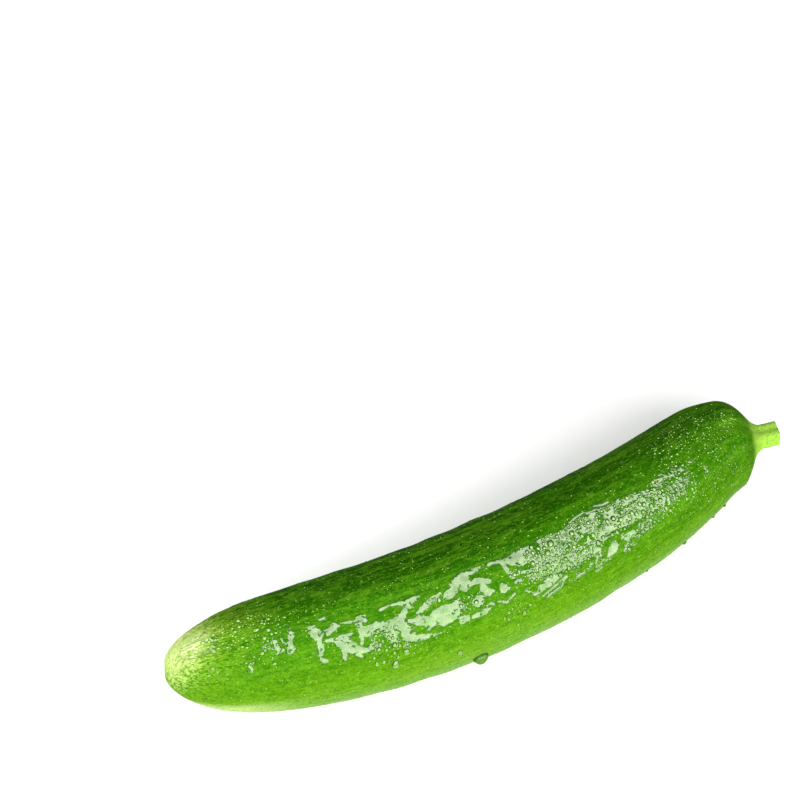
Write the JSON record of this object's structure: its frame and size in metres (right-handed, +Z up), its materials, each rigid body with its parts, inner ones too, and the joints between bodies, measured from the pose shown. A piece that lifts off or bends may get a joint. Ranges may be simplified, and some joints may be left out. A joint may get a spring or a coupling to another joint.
{
  "type": "snack cucumber",
  "caption": "Smooth gently bent snack cucumber with a blunt blossom end, faint lengthwise furrows, a rounded shoulder and a short cut stalk stub, lying on its side.",
  "frame": {"origin": "on the surface it rests on, under the middle of the whole cucumber's box", "axes": "+X from the blossom end to the stalk end, +Y towards the inner side of the bend, +Z up"},
  "size_m": [0.176, 0.0458, 0.0327],
  "materials": {
    "cucumber_skin": "smooth, thin, waxy green skin, wet, with fine pale streaks and dots, paler at the blossom end",
    "water": "clear water in beads, drops and thin patches"
  },
  "bodies": {
    "root": {"cucumber": "cucumber_skin"}
  },
  "joints": []
}
